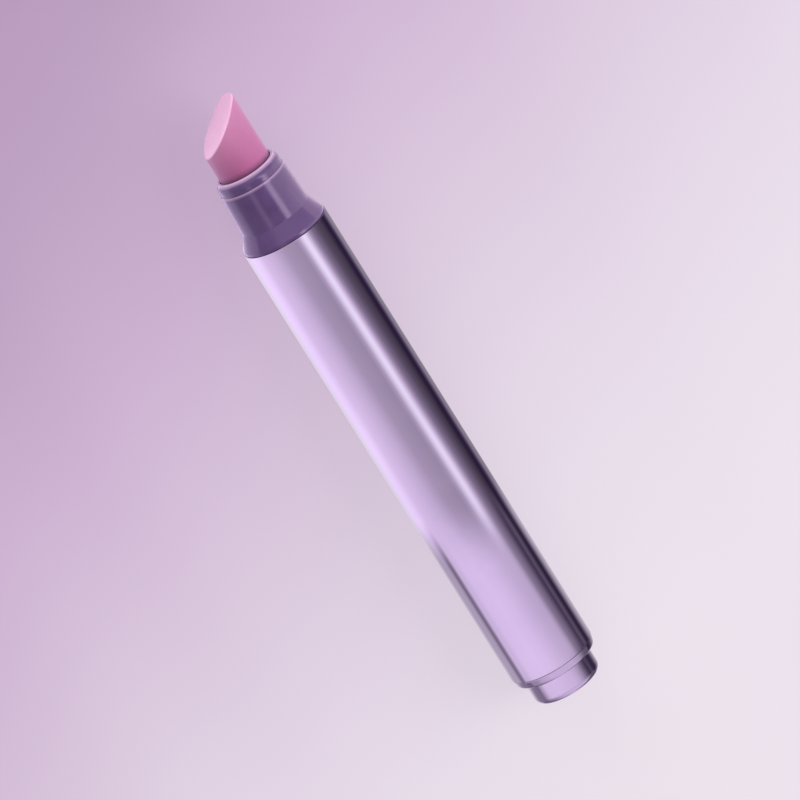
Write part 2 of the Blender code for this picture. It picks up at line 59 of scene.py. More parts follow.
def rounded_outline(corners, steps=7, hold=0.07 * mm, side_share=0.48):
    """Corners of (along, radius, fillet) as a fine outline, with a holding ring on each side of an arc.

    A fillet takes up at most a set share of each side that meets in its corner.
    """
    points = [Vector(corner[:2]) for corner in corners]
    outline = []
    for index, corner in enumerate(corners):
        here = points[index]
        before, after = points[index - 1] - here, points[(index + 1) % len(points)] - here
        if len(corner) < 3:
            outline.append(here)
            continue
        back, ahead = before.normalized(), after.normalized()
        half = back.angle(ahead) / 2
        reach = min(corner[2] / math.tan(half), side_share * before.length, side_share * after.length)
        centre = here + (back + ahead).normalized() * (reach / math.cos(half))
        start, end = here + back * reach - centre, here + ahead * reach - centre
        turn = start.angle_signed(end)
        if before.length > 2 * (reach + hold):
            outline.append(here + back * (reach + hold))
        for step in range(steps + 1):
            angle = -turn * step / steps
            outline.append(centre + Matrix.Rotation(angle, 2) @ start)
        if after.length > 2 * (reach + hold):
            outline.append(here + ahead * (reach + hold))
    return outline


def join_rings(work, ring, after):
    """Faces between two rings, either of which may be a single point on the axis."""
    if len(ring) == 1 and len(after) == 1:
        return
    count = max(len(ring), len(after))
    for index in range(count):
        following = (index + 1) % count
        if len(ring) == 1:
            work.faces.new((ring[0], after[following], after[index]))
        elif len(after) == 1:
            work.faces.new((ring[index], ring[following], after[0]))
        else:
            work.faces.new((ring[index], ring[following], after[following], after[index]))


def turned(name, corners, around=192, sharp=32, on_axis=1e-7):
    """A solid turned about the pen's axis from its outline, in its place, with its faces outwards."""
    work = bmesh.new()
    rings = []
    for along, radius in rounded_outline(corners):
        if radius < on_axis:
            rings.append([work.verts.new((along, 0, 0))])
            continue
        angles = [2 * math.pi * index / around for index in range(around)]
        rings.append([
            work.verts.new((along, radius * math.sin(angle), radius * math.cos(angle)))
            for angle in angles
        ])
    for index, ring in enumerate(rings):
        join_rings(work, ring, rings[(index + 1) % len(rings)])
    bmesh.ops.recalc_face_normals(work, faces=work.faces)
    mesh = bpy.data.meshes.new(name)
    work.to_mesh(mesh)
    work.free()
    mesh.shade_smooth()
    mesh.set_sharp_from_angle(angle=math.radians(sharp))
    piece = bpy.data.objects.new(name, mesh)
    bpy.context.scene.collection.objects.link(piece)
    return piece


def fit(piece, material, body, slot, *nodes):
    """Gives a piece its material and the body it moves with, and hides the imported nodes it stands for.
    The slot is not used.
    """
    piece.data.materials.clear()
    piece.data.materials.append(material)
    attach(piece, body)
    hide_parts(*nodes)


def place(tree, kind, sockets=None, **settings):
    """A node with its settings, and its sockets set to a value or linked from another node's socket."""
    node = tree.nodes.new(kind)
    for key, value in settings.items():
        setattr(node, key, value)
    for socket, value in (sockets or {}).items():
        if isinstance(value, bpy.types.NodeSocket):
            tree.links.new(value, node.inputs[socket])
        else:
            node.inputs[socket].default_value = value
    return node


def calculate(tree, operation, *values):
    """The result of a Math node on numbers or sockets."""
    return place(tree, "ShaderNodeMath", dict(enumerate(values)), operation=operation).outputs[0]


def ramped(tree, value, start, end, low=0.0, high=1.0, **settings):
    """A value taken from one range to another, and held at both ends."""
    sockets = {"Value": value, "From Min": start, "From Max": end, "To Min": low, "To Max": high}
    return place(tree, "ShaderNodeMapRange", sockets, **settings).outputs["Result"]


def noise(tree, vector, scale, detail, **more):
    """The value of a noise texture."""
    sockets = {"Vector": vector, "Scale": scale, "Detail": detail, **more}
    return place(tree, "ShaderNodeTexNoise", sockets).outputs["Fac"]


def blended(tree, share, first, second):
    """A colour between two others, each given as red, green and blue or as a socket."""
    sockets = {"Factor": share}
    for socket, colour in ((6, first), (7, second)):
        sockets[socket] = colour if isinstance(colour, bpy.types.NodeSocket) else (*colour, 1)
    return place(tree, "ShaderNodeMix", sockets, data_type="RGBA").outputs[2]


def bumped(tree, shader, height, strength, depth, **more):
    """Relief on the shader's normal from a height. It gives that normal back."""
    sockets = {"Height": height, "Strength": strength, "Distance": depth, **more}
    relief = place(tree, "ShaderNodeBump", sockets)
    tree.links.new(relief.outputs["Normal"], shader.inputs["Normal"])
    return relief.outputs["Normal"]


def set_values(shader, values):
    """Sets sockets that have one value all over."""
    for socket, value in values.items():
        shader.inputs[socket].default_value = value


def new_group(name, kind, inputs, outputs):
    """An empty node group with its named sockets, and the nodes that hold them."""
    group = bpy.data.node_groups.new(name, kind)
    for socket, socket_type in inputs.items():
        group.interface.new_socket(socket, in_out="INPUT", socket_type=socket_type)
    for socket, socket_type in outputs.items():
        group.interface.new_socket(socket, in_out="OUTPUT", socket_type=socket_type)
    return group, group.nodes.new("NodeGroupInput").outputs, group.nodes.new("NodeGroupOutput").inputs


def mottling():
    """Colour that wanders between two shades of one plastic or metal."""
    group, given, made = new_group(
        "mottling", "ShaderNodeTree",
        {"Position": "NodeSocketVector", "Scale": "NodeSocketFloat",
         "Dark": "NodeSocketColor", "Light": "NodeSocketColor"},
        {"Colour": "NodeSocketColor"},
    )
    cloud = noise(group, given["Position"], given["Scale"], detail=3, Distortion=0.6)
    shade = ramped(group, cloud, 0.32, 0.68)
    group.links.new(blended(group, shade, given["Dark"], given["Light"]), made["Colour"])
    return group


def fine_grain():
    """A fine, even relief, such as an eroded mould or an open foam leaves."""
    group, given, made = new_group(
        "fine_grain", "ShaderNodeTree",
        {"Position": "NodeSocketVector", "Scale": "NodeSocketFloat", "Detail": "NodeSocketFloat"},
        {"Height": "NodeSocketFloat"},
    )
    group.links.new(noise(group, given["Position"], given["Scale"], given["Detail"]), made["Height"])
    return group


def handling_marks():
    """Soft smudges and hairlines along the pen, as a roughness that varies and a height for the bump."""
    group, given, made = new_group(
        "handling_marks", "ShaderNodeTree",
        {"Position": "NodeSocketVector", "Roughness": "NodeSocketFloat",
         "Smudges": "NodeSocketFloat", "Hairlines": "NodeSocketFloat"},
        {"Roughness": "NodeSocketFloat", "Height": "NodeSocketFloat"},
    )
    cloud = noise(group, given["Position"], scale=170, detail=4, Roughness=0.6)
    smudge = ramped(group, cloud, 0.45, 0.75)
    drawn = place(group, "ShaderNodeMapping",
                  {"Vector": given["Position"], "Rotation": (0.0, 0.05, 0.03), "Scale": (45, 2300, 2300)})
    hairline = ramped(group, noise(group, drawn.outputs["Vector"], scale=1, detail=2), 0.70, 0.76)
    smudged = calculate(group, "MULTIPLY_ADD", smudge, given["Smudges"], given["Roughness"])
    scratched = calculate(group, "MULTIPLY_ADD", hairline, given["Hairlines"], smudged)
    group.links.new(scratched, made["Roughness"])
    group.links.new(hairline, made["Height"])
    return group


def new_material(name):
    """A material with its Principled shader and the position on the piece."""
    material = bpy.data.materials.new(name)
    material.use_nodes = True
    tree = material.node_tree
    position = tree.nodes.new("ShaderNodeTexCoord").outputs["Object"]
    return material, tree, tree.nodes["Principled BSDF"], position


def mottled(tree, shader, position, scale, dark, light):
    """Mottled base colour. It gives that colour back."""
    sockets = {"Position": position, "Scale": scale, "Dark": (*dark, 1), "Light": (*light, 1)}
    colour = place(tree, "ShaderNodeGroup", sockets, node_tree=mottling_group).outputs["Colour"]
    tree.links.new(colour, shader.inputs["Base Color"])
    return colour


def grain(tree, position, scale, detail):
    """The height of the fine grain."""
    sockets = {"Position": position, "Scale": scale, "Detail": detail}
    return place(tree, "ShaderNodeGroup", sockets, node_tree=fine_grain_group).outputs["Height"]


def marked(tree, shader, position, roughness, smudges, hairlines):
    """Roughness with the marks of handling. It gives back their height."""
    sockets = {"Position": position, "Roughness": roughness, "Smudges": smudges, "Hairlines": hairlines}
    marks = place(tree, "ShaderNodeGroup", sockets, node_tree=handling_marks_group)
    tree.links.new(marks.outputs["Roughness"], shader.inputs["Roughness"])
    return marks.outputs["Height"]


def lilac_mirror():
    """Metallised plastic: a lilac mirror, slightly wavy as moulded tubes are, under a clear lacquer."""
    material, tree, shader, position = new_material("lilac_mirror")
    mottled(tree, shader, position, scale=38, dark=(0.62, 0.475, 0.765), light=(0.665, 0.51, 0.80))
    scratches = marked(tree, shader, position, roughness=0.055, smudges=0.05, hairlines=0.06)
    drawn_out = place(tree, "ShaderNodeMapping", {"Vector": position, "Scale": (22, 75, 75)})
    waves = noise(tree, drawn_out.outputs["Vector"], scale=1, detail=1)
    wavy = bumped(tree, shader, waves, strength=1.0, depth=0.12 * mm)
    bumped(tree, shader, scratches, strength=0.25, depth=0.002 * mm, Normal=wavy)
    set_values(shader, {"Metallic": 1.0, "Coat Weight": 0.5, "Coat Roughness": 0.03})
    return material


mottling_group = mottling()
fine_grain_group = fine_grain()
handling_marks_group = handling_marks()
MIRROR = lilac_mirror()

barrel_radius = 6.5 * mm
barrel_bore = 5.7 * mm
rim_edge = 0.06 * mm
seam = 0.17 * mm
barrel_foot, barrel_rim = (corner.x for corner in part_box("barrel"))
barrel = turned("barrel_skin", [
    (barrel_foot - seam, barrel_radius, 0.07 * mm),
    (barrel_rim, barrel_radius, rim_edge),
    (barrel_rim, barrel_bore, rim_edge),
    (barrel_foot, barrel_bore),
    (barrel_foot - seam, barrel_bore + 0.2 * mm),
])
fit(barrel, MIRROR, "pen_body", "lilac_metal", "barrel")


# End ring
# A moulded ring, metallised like the barrel. Its band closes the barrel's foot, and its stem, glued into
# the barrel, guides the button.

ring_radius = 6.45 * mm
ring_edge = 0.62 * mm
ring_taper = 0.25 * mm
stem_radius = 5.58 * mm
ring_bore = 5.28 * mm
band_length = 1.3 * mm
ring_foot, stem_end = (corner.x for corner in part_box("end_ring"))
end_ring = turned("end_ring_skin", [
    (stem_end, stem_radius, 0.1 * mm),
    (stem_end, ring_bore, 0.1 * mm),
    (ring_foot, ring_bore, 0.12 * mm),
    (ring_foot, ring_radius - ring_taper, ring_edge),
    (ring_foot + band_length, ring_radius, 0.07 * mm),
    (ring_foot + band_length, stem_radius),
])
fit(end_ring, MIRROR, "pen_body", "lilac_metal", "end_ring")


# Push button
# A metallised cup that slides in the end ring. A lip behind the ring's stem keeps it in the pen.

button_radius = 5.17 * mm
button_bore = 4.4 * mm
button_wall = 0.7 * mm
button_edge = 1.0 * mm
lip_length = 0.8 * mm
button_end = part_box("push_button")[1].x
button = turned("push_button_skin", [
    (0, 0),
    (0, button_radius, button_edge),
    (button_end - lip_length, button_radius),
    (button_end - lip_length, stem_radius, 0.1 * mm),
    (button_end, stem_radius, 0.1 * mm),
    (button_end, button_bore, 0.1 * mm),
    (button_wall, button_bore, 0.2 * mm),
    (button_wall, 0),
])
fit(button, MIRROR, "button", "lilac_metal", "push_button")


# Ratchet
# Four moulded pieces turn each press into one tooth of rotation. The white housing and lock ring are
# glued in the barrel, the button's cam and the rotor are violet, and a steel washer carries the spring.

def natural_plastic(name, dark, light, roughness, scatter):
    """Unpainted moulded plastic with a faint flow pattern and a fine eroded grain."""
    material, tree, shader, position = new_material(name)
    mottled(tree, shader, position, 260, dark, light)
    marked(tree, shader, position, roughness, smudges=0.08, hairlines=0.04)
    bumped(tree, shader, grain(tree, position, scale=4200, detail=2), strength=0.2, depth=0.01 * mm)
    set_values(shader, {
        "Subsurface Weight": scatter,
        "Subsurface Radius": (1.0, 0.9, 1.0),
        "Subsurface Scale": 0.8 * mm,
    })
    return material


def drawn_steel():
    """Bright steel with fine lines left by drawing and rolling."""
    material, tree, shader, position = new_material("spring_steel")
    mottled(tree, shader, position, scale=400, dark=(0.50, 0.49, 0.48), light=(0.60, 0.59, 0.58))
    lines = noise(tree, position, scale=3600, detail=3)
    tree.links.new(ramped(tree, lines, 0.0, 1.0, 0.18, 0.42), shader.inputs["Roughness"])
    bumped(tree, shader, lines, strength=0.15, depth=0.004 * mm)
    set_values(shader, {"Metallic": 1.0})
    return material


def finish_node(node, material):
    """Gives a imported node, whose shape stays, its material."""
    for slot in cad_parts[node].material_slots:
        slot.material = material


WHITE = natural_plastic("white_plastic", dark=(0.76, 0.73, 0.77), light=(0.84, 0.82, 0.85),
                        roughness=0.38, scatter=0.2)
VIOLET = natural_plastic("violet_plastic", dark=(0.30, 0.22, 0.44), light=(0.37, 0.28, 0.51),
                         roughness=0.42, scatter=0.1)
STEEL = drawn_steel()
finish_node("mechanism_housing", WHITE)
finish_node("lock_ring", WHITE)
finish_node("button_cam", VIOLET)
finish_node("ratchet_rotor", VIOLET)
finish_node("thrust_washer", STEEL)


# Return spring
# A coil of drawn steel wire between the washer and the nut. Its last turn at each end lies closed. The real
# spring shortens by the button's stroke; this coil is one rigid piece.

def shape_tree(name, sizes):
    """An empty tree of Geometry Nodes with named sizes and a material, and the nodes that hold them."""
    sockets = {size: "NodeSocketFloat" for size in sizes}
    return new_group(name, "GeometryNodeTree", {**sockets, "Material": "NodeSocketMaterial"},
                     {"Geometry": "NodeSocketGeometry"})


def round_axis(tree, along, radius, angle):
    """A place given by its station, its distance from the pen's axis and its angle round it."""
    across = calculate(tree, "MULTIPLY", radius, calculate(tree, "SINE", angle))
    upward = calculate(tree, "MULTIPLY", radius, calculate(tree, "COSINE", angle))
    return place(tree, "ShaderNodeCombineXYZ", {"X": along, "Y": across, "Z": upward}).outputs[0]


def finish_shape(tree, made, shape, material):
    """Smooths the shape, gives it its material, makes it real and puts it out."""
    smooth = place(tree, "GeometryNodeSetShadeSmooth", {"Geometry": shape})
    dressed = place(tree, "GeometryNodeSetMaterial",
                    {"Geometry": smooth.outputs[0], "Material": material})
    real = place(tree, "GeometryNodeRealizeInstances", {"Geometry": dressed.outputs[0]})
    tree.links.new(real.outputs[0], made["Geometry"])


def coil_tree():
    """A wire wound round the pen's axis, whose first and last turn are closed."""
    tree, given, made = shape_tree("coil_spring", ["Turns", "Start", "End", "Coil radius", "Wire radius"])
    line = place(tree, "GeometryNodeCurvePrimitiveLine", {"End": (1, 0, 0)})
    points = place(tree, "GeometryNodeResampleCurve", {"Curve": line.outputs[0], "Count": wire_points})
    share = place(tree, "GeometryNodeSplineParameter").outputs["Factor"]
    turn = calculate(tree, "MULTIPLY", share, given["Turns"])
    last = calculate(tree, "SUBTRACT", given["Turns"], 1.0)
    wire = calculate(tree, "MULTIPLY", given["Wire radius"], 2.0)
    room = calculate(tree, "SUBTRACT", given["End"], given["Start"])
    open_length = calculate(tree, "MULTIPLY_ADD", wire, -3.0, room)
    first_height = calculate(tree, "MULTIPLY", wire, 1.5)
    first_turn = ramped(tree, turn, 0.0, 1.0, given["Wire radius"], first_height)
    open_turns = ramped(tree, turn, 1.0, last, 0.0, open_length)
    last_turn = ramped(tree, turn, last, given["Turns"], 0.0, wire)
    height = calculate(tree, "ADD", calculate(tree, "ADD", first_turn, open_turns), last_turn)
    along = calculate(tree, "ADD", height, given["Start"])
    angle = calculate(tree, "MULTIPLY", turn, 2 * math.pi)
    coil = place(tree, "GeometryNodeSetPosition",
                 {"Geometry": points.outputs[0],
                  "Position": round_axis(tree, along, given["Coil radius"], angle)})
    section = place(tree, "GeometryNodeCurvePrimitiveCircle",
                    {"Resolution": 14, "Radius": given["Wire radius"]})
    wound = place(tree, "GeometryNodeCurveToMesh",
                  {"Curve": coil.outputs[0], "Profile Curve": section.outputs[0], "Fill Caps": True})
    finish_shape(tree, made, wound.outputs[0], given["Material"])
    return tree


def shaped_by(name, tree, sizes, material):
    """A plain mesh piece made by a tree with its sizes, with its faces outwards."""
    maker = bpy.data.objects.new(name, bpy.data.meshes.new(name))
    bpy.context.scene.collection.objects.link(maker)
    modifier = maker.modifiers.new("shape", "NODES")
    modifier.node_group = tree
    values = {**sizes, "Material": material}
    for item in tree.interface.items_tree:
        if item.in_out == "INPUT":
            modifier[item.identifier] = values[item.name]
    bpy.context.view_layer.update()
    shaped = maker.evaluated_get(bpy.context.evaluated_depsgraph_get())
    mesh = bpy.data.meshes.new_from_object(shaped)
    maker.modifiers.clear()
    work = bmesh.new()
    work.from_mesh(mesh)
    bmesh.ops.remove_doubles(work, verts=work.verts, dist=1e-6)
    bmesh.ops.recalc_face_normals(work, faces=work.faces)
    work.to_mesh(mesh)
    work.free()
    maker.data = mesh
    return maker


spring_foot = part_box("thrust_washer")[1].x
spring_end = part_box("drive_nut")[0].x
spring_seat = 0.05 * mm
spring_play = 0.12 * mm
wire_points = 433
spring = shaped_by("return_spring_wire", coil_tree(), {
    "Turns": 10.0,
    "Start": spring_foot + spring_seat,
    "End": spring_end - spring_play,
    "Coil radius": 3.85 * mm,
    "Wire radius": 0.25 * mm,
}, STEEL)
spring.data.set_sharp_from_angle(angle=math.radians(60))
fit(spring, STEEL, "pen_body", "spring_steel", "return_spring")
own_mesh(spring)


# Lead screw, nut and piston
# A white threaded rod with two flats. The rotor turns it by the flats, the fixed nut drives it forward,
# and its head pushes the piston, whose soft seal wipes the reservoir.

def thread_tree():
    """A threaded rod with two flats and a round head, wrapped from a flat grid."""
    tree, given, made = shape_tree("threaded_rod", [
        "Start", "End", "Root radius", "Crest radius", "Pitch", "Flat", "Thread end", "Head foot",
        "Head radius",
    ])
    grid = place(tree, "GeometryNodeMeshGrid",
                 {"Size X": 1.0, "Size Y": 1.0, "Vertices X": rod_rings, "Vertices Y": rod_sides + 1})
    split = place(tree, "ShaderNodeSeparateXYZ", {0: place(tree, "GeometryNodeInputPosition").outputs[0]})
    share = calculate(tree, "ADD", split.outputs["X"], 0.5)
    angle = calculate(tree, "MULTIPLY", calculate(tree, "ADD", split.outputs["Y"], 0.5), 2 * math.pi)
    along = ramped(tree, share, 0.0, 1.0, given["Start"], given["End"])
    turns = calculate(tree, "DIVIDE", along, given["Pitch"])
    phase = calculate(tree, "FRACT", calculate(tree, "ADD", turns, split.outputs["Y"]))
    off_crest = calculate(tree, "ABSOLUTE", calculate(tree, "SUBTRACT", phase, 0.5))
    thread = ramped(tree, off_crest, flank_start, flank_end, given["Crest radius"], given["Root radius"],
                    interpolation_type="SMOOTHSTEP")
    before_end = calculate(tree, "LESS_THAN", along, given["Thread end"])
    threaded = calculate(tree, "MAXIMUM", calculate(tree, "MULTIPLY", thread, before_end),
                         given["Root radius"])
    narrowed = calculate(tree, "ADD", calculate(tree, "SUBTRACT", along, given["Start"]), tail_radius)
    chamfered = calculate(tree, "MINIMUM", threaded, narrowed)
    sine = calculate(tree, "MAXIMUM", calculate(tree, "ABSOLUTE", calculate(tree, "SINE", angle)), 0.01)
    flattened = calculate(tree, "MINIMUM", chamfered, calculate(tree, "DIVIDE", given["Flat"], sine))
    in_head = calculate(tree, "GREATER_THAN", along, given["Head foot"])
    head = calculate(tree, "MULTIPLY", given["Head radius"], in_head)
    solid = calculate(tree, "MAXIMUM", flattened, head)
    inside = calculate(tree, "COMPARE", share, 0.5, 0.4999)
    rod = place(tree, "GeometryNodeSetPosition",
                {"Geometry": grid.outputs["Mesh"],
                 "Position": round_axis(tree, along, calculate(tree, "MULTIPLY", solid, inside), angle)})
    closed = place(tree, "GeometryNodeMergeByDistance", {"Geometry": rod.outputs[0], "Distance": 1e-6})
    finish_shape(tree, made, closed.outputs[0], given["Material"])
    return tree


screw_tail, screw_end = (corner.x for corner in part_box("lead_screw"))
screw_radius = 1.816 * mm
tail_radius = 1.2 * mm
thread_depth = 0.36 * mm
flank_start = 0.10
flank_end = 0.27
head_thickness = 1.0 * mm
rod_rings = 526
rod_sides = 72
screw = shaped_by("lead_screw_thread", thread_tree(), {
    "Start": screw_tail,
    "End": screw_end,
    "Root radius": screw_radius - thread_depth,
    "Crest radius": screw_radius,
    "Pitch": 2.0 * mm,
    "Flat": 1.3 * mm,
    "Thread end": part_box("piston_core")[0].x,
    "Head foot": screw_end - head_thickness,
    "Head radius": 2.78 * mm,
}, WHITE)
screw.data.set_sharp_from_angle(angle=math.radians(35))
fit(screw, WHITE, "screw", "white_plastic", "lead_screw")
finish_node("drive_nut", WHITE)
finish_node("piston_core", WHITE)


def soft_rubber():
    """Pale silicone rubber: matt, soft at its edges, with a dusty bloom."""
    material, tree, shader, position = new_material("soft_rubber")
    mottled(tree, shader, position, scale=300, dark=(0.64, 0.62, 0.66), light=(0.74, 0.72, 0.76))
    marked(tree, shader, position, roughness=0.6, smudges=0.15, hairlines=0.0)
    bumped(tree, shader, grain(tree, position, scale=3000, detail=3), strength=0.3, depth=0.015 * mm)
    set_values(shader, {"Subsurface Weight": 0.4, "Subsurface Scale": 0.6 * mm})
    return material


RUBBER = soft_rubber()
finish_node("piston_seal", RUBBER)


# Reservoir and feed tube
# The serum's tube, extruded in clear plastic and glued inside the barrel, the O-ring that seals the
# collar in it, and the fine tube that leads the serum into the tip.

def clear_plastic():
    """Clear plastic, faintly lilac, with smudges that blur what is seen through it."""
    material, tree, shader, position = new_material("clear_plastic")
    mottled(tree, shader, position, scale=120, dark=(0.86, 0.83, 0.90), light=(0.93, 0.91, 0.96))
    scratches = marked(tree, shader, position, roughness=0.08, smudges=0.12, hairlines=0.1)
    bumped(tree, shader, scratches, strength=0.2, depth=0.003 * mm)
    set_values(shader, {"IOR": 1.49, "Transmission Weight": 0.92})
    return material


CLEAR = clear_plastic()
finish_node("reservoir", CLEAR)
finish_node("feed_tube", CLEAR)
finish_node("collar_seal", RUBBER)


# Collar and tip sleeve
# The nozzle body is moulded in purple plastic that lets a little light through. It plugs into the
# reservoir, flares out over the barrel's rim, and holds the sleeve that grips the tip.

def mask(tree, name):
    """A mask that is stored on a piece's points."""
    return place(tree, "ShaderNodeAttribute", attribute_name=name).outputs["Fac"]


def purple_plastic():
    """Dark purple plastic, glossy, with a faint flow pattern and painted pale highlights on thin edges."""
    material, tree, shader, position = new_material("purple_plastic")
    solid = mottled(tree, shader, position, scale=230, dark=(0.098, 0.052, 0.158),
                    light=(0.118, 0.064, 0.186))
    # Painted highlight: pale lilac along thin edges, standing in for light that gets through the plastic.
    colour = blended(tree, mask(tree, "painted_edge_light"), solid, (0.62, 0.42, 0.62))
    tree.links.new(colour, shader.inputs["Base Color"])
    marked(tree, shader, position, roughness=0.13, smudges=0.06, hairlines=0.05)
    bumped(tree, shader, grain(tree, position, scale=5200, detail=2), strength=0.08, depth=0.01 * mm)
    set_values(shader, {
        "IOR": 1.55,
        "Subsurface Weight": 0.3,
        "Subsurface Radius": (1.0, 0.7, 1.2),
        "Subsurface Scale": 1.2 * mm,
    })
    return material


def store_mask(piece, name, amount):
    """Stores a mask on a piece's points, worked out by a function from each point's place."""
    layer = piece.data.attributes.new(name, "FLOAT", "POINT")
    for vertex in piece.data.vertices:
        layer.data[vertex.index].value = amount(vertex.co)


def painted_edge_light(along, radius, reach, strength):
    """How strong the painted highlight is, by the distance from an edge at this station and radius."""
    def amount(point):
        distance = math.hypot(point.x - along, math.hypot(point.y, point.z) - radius)
        return strength * max(0.0, 1 - distance / reach)
    return amount


PURPLE = purple_plastic()

plug_foot, collar_top = (corner.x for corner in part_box("collar"))
flange_foot = barrel_rim + 0.03 * mm
flange_radius = 6.35 * mm
ledge = barrel_rim + 0.5 * mm
crease = barrel_rim + 2.8 * mm
plug_radius = 4.66 * mm
tier_foot_radius = 5.3 * mm
tier_top_radius = 5.0 * mm
tier_top = collar_top + seam
socket_radius = 4.3 * mm
feed_bore = 1.02 * mm
groove_width = 1.24 * mm
groove_depth = 1.0 * mm
groove_foot = plug_foot + 3.4 * mm
groove_end = groove_foot + groove_width
groove_radius = plug_radius - groove_depth
socket_floor = collar_top - 4.72 * mm
edge_reach = 0.45 * mm
edge_taper = 0.022 * mm
collar = turned("collar_body", [
    (plug_foot, feed_bore),
    (plug_foot, plug_radius, 0.3 * mm),
    (groove_foot, plug_radius, 0.05 * mm),
    (groove_foot, groove_radius),
    (groove_end, groove_radius),
    (groove_end, plug_radius, 0.05 * mm),
    (flange_foot, plug_radius),
    (flange_foot, flange_radius, 0.06 * mm),
    (ledge, flange_radius, 0.15 * mm),
    (crease, tier_foot_radius, 0.35 * mm),
    (tier_top - edge_reach, tier_top_radius + edge_taper),
    (tier_top, tier_top_radius, 0.1 * mm),
    (tier_top, socket_radius, 0.1 * mm),
    (socket_floor, socket_radius),
    (socket_floor, feed_bore),
], sharp=40)
# Painted highlight along the tier's top edge.
store_mask(collar, "painted_edge_light", painted_edge_light(tier_top, tier_top_radius, edge_reach, strength=0.65))
fit(collar, PURPLE, "pen_body", "purple_plastic", "collar")

sleeve_radius = 4.88 * mm
rim_radius = 4.45 * mm
rim_middle = rim_radius - 0.1 * mm
stem_foot, stem_rim = (corner.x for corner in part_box("tip_sleeve"))
sleeve_rim = stem_rim - 0.45 * mm
sleeve_foot = tier_top + 0.02 * mm
sleeve_stem_radius = 4.18 * mm
tip_radius = 3.93 * mm
rim_bore = tip_radius + 0.1 * mm
stem_bore = 3.18 * mm
sleeve_socket = 1.6 * mm
shoulder_length = 0.8 * mm
shoulder_fillet = 0.9 * mm
tip_sleeve = turned("tip_sleeve_body", [
    (stem_foot, stem_bore),
    (stem_foot, sleeve_stem_radius, 0.15 * mm),
    (sleeve_foot, sleeve_stem_radius),
    (sleeve_foot, sleeve_radius, 0.02 * mm),
    (sleeve_rim - shoulder_length, sleeve_radius, shoulder_fillet),
    (sleeve_rim, rim_radius, 0.18 * mm),
    (sleeve_rim, rim_bore, 0.12 * mm),
    (sleeve_rim - sleeve_socket, rim_bore),
    (sleeve_rim - sleeve_socket, stem_bore),
])
# Painted highlight along the sleeve's rim.
store_mask(tip_sleeve, "painted_edge_light", painted_edge_light(sleeve_rim, rim_middle, edge_reach, strength=1.7))
fit(tip_sleeve, PURPLE, "pen_body", "purple_plastic", "tip_sleeve")


# Applicator tip
# Fine open-cell foam, turned round and cut across on a slant. Serum soaks through it from the feed tube,
# which ends in its stem. It is pushed into the sleeve and held by friction.

def pink_foam():
    """Pink foam, paler where cut; painted edge highlight and rim shade; foot and heel darker, serum and
    painted shade.
    """
    material, tree, shader, position = new_material("pink_foam")
    mottle = noise(tree, position, scale=420, detail=4)
    dry = blended(tree, mottle, (0.46, 0.115, 0.275), (0.58, 0.18, 0.385))
    absorbed = calculate(tree, "ADD", mottle, 0.25)
    # Darker and glossier where serum soaks the foam; the darkening at the foot and heel side is also
    # painted shade.
    damp_and_shade = place(tree, "ShaderNodeMath", {0: mask(tree, "soaked_and_shaded"), 1: absorbed},
                 operation="MULTIPLY", use_clamp=True).outputs[0]
    wet_and_shaded = blended(tree, damp_and_shade, dry, (0.40, 0.095, 0.25))
    # Painted contact shade on the foam where the sleeve's rim meets it.
    side = blended(tree, mask(tree, "painted_rim_shade"), wet_and_shaded, (0.16, 0.045, 0.12))
    face = blended(tree, mottle, (0.90, 0.51, 0.71), (0.97, 0.62, 0.81))
    # Paler cut face, reaching over its rounded edge as a painted highlight.
    tree.links.new(blended(tree, mask(tree, "cut_face_and_edge_light"), side, face), shader.inputs["Base Color"])
    pores = place(tree, "ShaderNodeTexVoronoi", {"Vector": position, "Scale": 5200}).outputs["Distance"]
    surface = calculate(tree, "MULTIPLY_ADD", pores, 0.5, grain(tree, position, scale=2600, detail=3))
    bumped(tree, shader, surface, strength=0.5, depth=0.05 * mm)
    tree.links.new(ramped(tree, damp_and_shade, 0.0, 1.0, 0.66, 0.45), shader.inputs["Roughness"])
    set_values(shader, {
        "Subsurface Weight": 0.4,
        "Subsurface Radius": (1.0, 0.45, 0.65),
        "Subsurface Scale": 1.1 * mm,
        "Sheen Weight": 0.25,
        "Sheen Roughness": 0.4,
    })
    return material


def held(share):
    """A share held between 0 and 1."""
    return min(1.0, max(0.0, share))


def slant_top(piece):
    """Shears the top of the turned tip into a slanted face, whose apex is rounded off."""
    for vertex in piece.data.vertices:
        if vertex.co.x > tip_middle - 2 * face_edge:
            towards_heel = vertex.co.dot(heel)
            near_apex = max(0.0, -towards_heel / tip_radius - apex_start) / (1 - apex_start)
            vertex.co.x -= math.tan(tip_slant) * towards_heel
            vertex.co.x -= apex_loss * near_apex ** 2


def cut_face_and_edge_light(point):
    """1 on the face and over its rounded edge, where the paler pink is a painted highlight; before it is
    slanted.
    """
    return held((point.x - tip_middle + face_edge) / face_blend)


def soaked_and_shaded(point):
    """1 at the foot, and further up at the heel: where serum soaks the foam and where its shade is painted.
    """
    return held(1 - (point.x - sleeve_rim) / soak_and_shade_length + heel_share * point.dot(heel) / tip_radius)


def painted_rim_shade(point):
    """1 at the sleeve's rim: painted contact shade on the foam next to it."""
    return held(1 - (point.x - sleeve_rim) / rim_shade_length)


